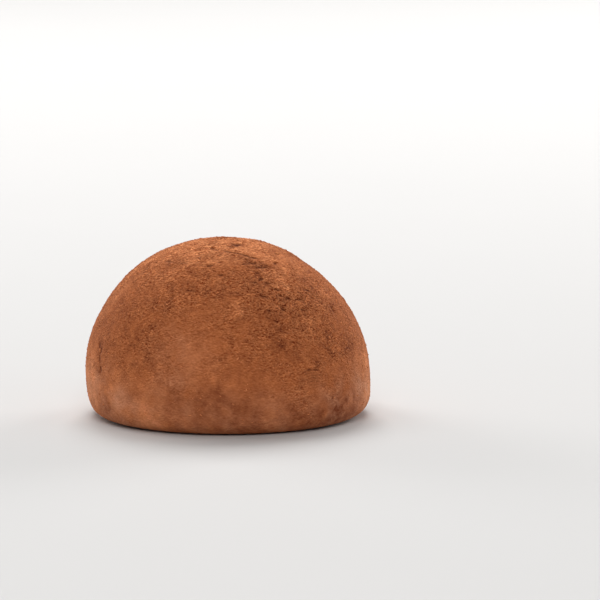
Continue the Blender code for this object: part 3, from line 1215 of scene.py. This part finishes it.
class MOCHI_OT_add_dough(bpy.types.Operator):
    """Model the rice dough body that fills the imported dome"""

    bl_idname = "mochi.add_dough"
    bl_label = "Add Rice Dough"
    bl_options = {"REGISTER", "UNDO"}

    def execute(self, context):
        settings = context.scene.mochi
        form = smooth_form()
        dough = panelled_ball("mochi_dough", DOUGH_DIVISIONS, open_below=False)
        wrap_on(dough, form)
        remove(form)
        points = points_of(dough.data)
        inward = -normals_of(dough.data)
        covered = coat_depth(points, settings.coat) * cover_of(points)
        drawn, crease = gather_creases(points, settings.dough.gather_depth)
        points += inward * covered[:, None]
        points[:, 2] = np.maximum(points[:, 2], 0.0) + drawn
        set_points(dough.data, points)
        store(dough.data, "dough_crease", crease)
        store(dough.data, "dough_dusting", step(np.hypot(points[:, 0], points[:, 1]), *DUSTING_RADII))
        dough.data.materials.append(dough_material(settings.dough, settings.coat.cocoa_color))
        fit_piece(dough)
        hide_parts("mochi")
        return {"FINISHED"}


class MOCHI_OT_add_coat(bpy.types.Operator):
    """Model the coat of cocoa powder with its wrinkles, cracks and pits"""

    bl_idname = "mochi.add_coat"
    bl_label = "Add Cocoa Coat"
    bl_options = {"REGISTER", "UNDO"}

    def execute(self, context):
        settings = context.scene.mochi.coat
        form = smooth_form()
        surface = BVHTree.FromObject(form, context.evaluated_depsgraph_get())
        coat = panelled_ball("cocoa_coat", settings.divisions, open_below=True)
        wrap_on(coat, form)
        remove(form)
        mesh = coat.data
        points = points_of(mesh)
        outward = normals_of(mesh)
        looks = powder_looks(points, surface)
        height = powder_relief(points, looks, settings)
        hollow = blurred(height, mesh, HOLLOW_ROUNDS) - height
        height *= step(points[:, 2], *RELIEF_RISE)
        height -= (1 - cover_of(points)) * COVER_DIP
        points += outward * height[:, None]
        points[:, 2] = np.maximum(points[:, 2], 0.0)
        set_points(mesh, points)
        store_looks(mesh, points, looks, hollow)
        rings, clear = fingertip(wandering(points, *PRINT_WANDER), surface)
        store(mesh, "print_rings", rings, PRINT_FARTHEST_MM)
        store(mesh, "print_mask", clear)
        close_below(coat)
        mesh.materials.append(coat_material(settings))
        fit_piece(coat)
        return {"FINISHED"}


def taken_shape(obj):
    """The points and faces of a modelled clump or grain, which is then removed."""
    faces = np.array([tuple(face.vertices) for face in obj.data.polygons])
    points = points_of(obj.data)
    remove(obj)
    return points, faces


def clump_shapes(count):
    """A few lumpy clumps with twenty faces, each about one unit across."""
    shapes = []
    draw = random.Random(CLUMP_SEED)
    for number in range(count):
        bpy.ops.object.select_all(action="DESELECT")
        bpy.ops.mesh.primitive_ico_sphere_add(subdivisions=1, radius=0.5)
        bpy.ops.object.mode_set(mode="EDIT")
        bpy.ops.transform.vertex_random(offset=CLUMP_STRAY, uniform=0.3, seed=number + 1)
        sides = tuple(draw.uniform(*ends) for ends in CLUMP_SIDES)
        bpy.ops.transform.resize(value=sides)
        bpy.ops.object.mode_set(mode="OBJECT")
        shapes.append(taken_shape(bpy.context.object))
    return shapes


def grain_shapes(count):
    """A few eight-sided grains, each about one unit across."""
    shapes = []
    draw = random.Random(GRAIN_SEED)
    for number in range(count):
        bpy.ops.object.select_all(action="DESELECT")
        bpy.ops.mesh.primitive_cone_add(vertices=4, radius1=0.55, radius2=0.0, depth=0.5)
        grain = bpy.context.object
        select_faces_below(grain.data)
        bpy.ops.object.mode_set(mode="EDIT")
        bpy.ops.mesh.poke(offset=0.3)
        bpy.ops.mesh.select_all(action="SELECT")
        bpy.ops.transform.vertex_random(offset=GRAIN_STRAY, uniform=0.3, seed=number + 1)
        width = draw.uniform(*GRAIN_WIDTHS)
        length = draw.uniform(*GRAIN_LENGTHS)
        bpy.ops.transform.resize(value=(width, length, 1.0))
        bpy.ops.object.mode_set(mode="OBJECT")
        shapes.append(taken_shape(grain))
    return shapes


def turned(points, normal, spin):
    """The points with their height along a normal and their length level, then turned about the normal."""
    level = np.cross(NEARLY_UP, normal)
    level /= np.linalg.norm(level)
    uphill = np.cross(normal, level)
    across = math.cos(spin) * level + math.sin(spin) * uphill
    along = np.cross(normal, across)
    return points @ np.stack((across, along, normal))


def scatter_on_coat(name, shapes, count, middling, sway, seed):
    """One mesh of many small shapes that lie on the coat, most of them where it is rough."""
    coat = bpy.data.objects["cocoa_coat"].data
    points = points_of(coat)
    normals = normals_of(coat)
    rough = stored(coat, "powder_rough")
    unbroken = 1 - step(stored(coat, "powder_breaks"), *CRUMB_BREAKS)
    draw = np.random.default_rng(seed)
    wanted = (SMOOTH_CRUMBS + rough**3) * unbroken * step(points[:, 2], *CRUMB_RISE)
    chosen = draw.choice(len(points), count, replace=False, p=wanted / wanted.sum())
    sizes = middling * np.clip(draw.lognormal(*WIDTH_SPREAD, count), *WIDTH_FACTORS)
    corners = []
    faces = []
    tints = []
    for size, index in zip(sizes, chosen):
        shape, shape_faces = shapes[draw.integers(len(shapes))]
        normal = normals[index]
        laid = turned(shape * size, normal, draw.normal(0, sway))
        faces.append(shape_faces + len(corners) * len(shape))
        corners.append(laid + points[index] + normal * size * PERCH)
        tints.append(np.full(len(shape), draw.uniform(*CRUMB_TINTS)))
    mesh = bpy.data.meshes.new(name)
    mesh.from_pydata(np.concatenate(corners), [], np.concatenate(faces).tolist())
    store(mesh, "crumb_tint", np.concatenate(tints))
    crumbs = bpy.data.objects.new(name, mesh)
    bpy.context.scene.collection.objects.link(crumbs)
    return crumbs


def dress_crumbs(crumbs, settings):
    """Gives loose clumps or grains their material and their place in the frame."""
    crumbs.data.materials.append(crumb_material(crumbs.name, settings))
    fit_piece(crumbs)


class MOCHI_OT_add_crumbs(bpy.types.Operator):
    """Scatter loose clumps of powder over the coat"""

    bl_idname = "mochi.add_crumbs"
    bl_label = "Add Cocoa Crumbs"
    bl_options = {"REGISTER", "UNDO"}

    def execute(self, context):
        settings = context.scene.mochi
        shapes = clump_shapes(SHAPE_KINDS)
        count = settings.crumbs.crumb_count
        crumbs = scatter_on_coat("cocoa_crumbs", shapes, count, settings.crumbs.crumb_size, *CRUMB_SCATTER)
        dress_crumbs(crumbs, settings.coat)
        return {"FINISHED"}


class MOCHI_OT_add_grains(bpy.types.Operator):
    """Scatter fine grains of powder over the coat"""

    bl_idname = "mochi.add_grains"
    bl_label = "Add Cocoa Grains"
    bl_options = {"REGISTER", "UNDO"}

    def execute(self, context):
        settings = context.scene.mochi
        shapes = grain_shapes(SHAPE_KINDS)
        count = settings.crumbs.grain_count
        grains = scatter_on_coat("cocoa_grains", shapes, count, settings.crumbs.grain_size, *GRAIN_SCATTER)
        dress_crumbs(grains, settings.coat)
        return {"FINISHED"}


def aim(obj, target):
    """Turns a lamp or camera towards a point."""
    obj.rotation_euler = (target - obj.location).to_track_quat("-Z", "Y").to_euler()


def add_floor(settings):
    """A wide round floor with soft, slightly darker patches."""
    bpy.ops.object.select_all(action="DESELECT")
    bpy.ops.mesh.primitive_circle_add(vertices=FLOOR_CORNERS, radius=FLOOR_RADIUS, fill_type="NGON")
    floor = bpy.context.object
    floor.name = "studio_floor"
    material, shader, desk = new_material("pale_floor", FLOOR_ROUGHNESS)
    inputs = {"Vector": desk.place(), "Patch Scale": FLOOR_PATCHES, "Contrast": 0.5}
    shade = use_group(desk, mottle_group(), inputs)
    darker = [FLOOR_SHADE * part for part in settings.floor_color[:3]] + [1.0]
    desk.feed(shader.inputs["Base Color"], desk.blend(shade.outputs[0], settings.floor_color, darker))
    floor.data.materials.append(material)


def add_lamp(name, bearing, rise, watts, strength):
    """A soft square lamp that faces the mochi."""
    light = bpy.data.lights.new(name, "AREA")
    light.shape = "SQUARE"
    light.size = LAMP_SIDE
    light.energy = watts * strength
    lamp = bpy.data.objects.new(name, light)
    bpy.context.scene.collection.objects.link(lamp)
    lamp.location = MIDDLE + direction(bearing, rise) * LAMP_DISTANCE
    aim(lamp, MIDDLE)


def add_camera(settings):
    """The camera, turned a little aside so that the mochi lies where the picture has it."""
    camera = bpy.data.objects.new("camera", bpy.data.cameras.new("camera"))
    bpy.context.scene.collection.objects.link(camera)
    back = direction(0, math.degrees(settings.camera_rise))
    camera.location = MIDDLE + back * settings.camera_distance
    right = Vector((1.0, 0.0, 0.0))
    up = back.cross(right)
    across = (PICTURE_SIDE / 2 - MIDDLE_PIXEL[0]) / PIXELS_PER_METRE
    above = (MIDDLE_PIXEL[1] - PICTURE_SIDE / 2) / PIXELS_PER_METRE
    aim(camera, MIDDLE + right * across + up * above)
    camera.data.sensor_width = SENSOR_MM
    camera.data.lens = SENSOR_MM * PIXELS_PER_METRE * settings.camera_distance / PICTURE_SIDE
    camera.data.clip_start, camera.data.clip_end = SIGHT
    bpy.context.scene.camera = camera


class MOCHI_OT_set_studio(bpy.types.Operator):
    """Set up the pale floor, the soft lamps and the camera"""

    bl_idname = "mochi.set_studio"
    bl_label = "Set Up Studio"
    bl_options = {"REGISTER", "UNDO"}

    def execute(self, context):
        settings = context.scene.mochi.studio
        add_floor(settings)
        for lamp in LAMPS:
            add_lamp(*lamp, settings.lamp_strength)
        world = bpy.data.worlds.new("studio_sky")
        world.use_nodes = True
        sky = world.node_tree.nodes["Background"]
        sky.inputs["Color"].default_value = (1.0, 1.0, 1.0, 1.0)
        sky.inputs["Strength"].default_value = settings.sky_strength
        context.scene.world = world
        context.scene.view_settings.view_transform = "Standard"
        add_camera(settings)
        return {"FINISHED"}


class MOCHI_PT_sidebar(bpy.types.Panel):
    """Sidebar panel that lists every step"""

    bl_idname = "MOCHI_PT_sidebar"
    bl_label = "Cocoa Mochi"
    bl_space_type = "VIEW_3D"
    bl_region_type = "UI"
    bl_category = "Mochi"

    def draw(self, context):
        settings = context.scene.mochi
        for group, operator in (
            (settings.dough, MOCHI_OT_add_dough),
            (settings.coat, MOCHI_OT_add_coat),
            (settings.crumbs, MOCHI_OT_add_crumbs),
            (None, MOCHI_OT_add_grains),
            (settings.studio, MOCHI_OT_set_studio),
        ):
            box = self.layout.box()
            for name in group.__annotations__ if group else ():
                box.prop(group, name)
            box.operator(operator.bl_idname)


CLASSES = (
    DoughSettings,
    CoatSettings,
    CrumbSettings,
    StudioSettings,
    MochiSettings,
    MOCHI_OT_add_dough,
    MOCHI_OT_add_coat,
    MOCHI_OT_add_crumbs,
    MOCHI_OT_add_grains,
    MOCHI_OT_set_studio,
    MOCHI_PT_sidebar,
)


def register():
    for kind in CLASSES:
        bpy.utils.register_class(kind)
    bpy.types.Scene.mochi = bpy.props.PointerProperty(type=MochiSettings)


def unregister():
    del bpy.types.Scene.mochi
    for kind in reversed(CLASSES):
        bpy.utils.unregister_class(kind)


def main():
    register()
    bpy.ops.mochi.add_dough()
    bpy.ops.mochi.add_coat()
    bpy.ops.mochi.add_crumbs()
    bpy.ops.mochi.add_grains()
    bpy.ops.mochi.set_studio()


if __name__ == "__main__":
    main()
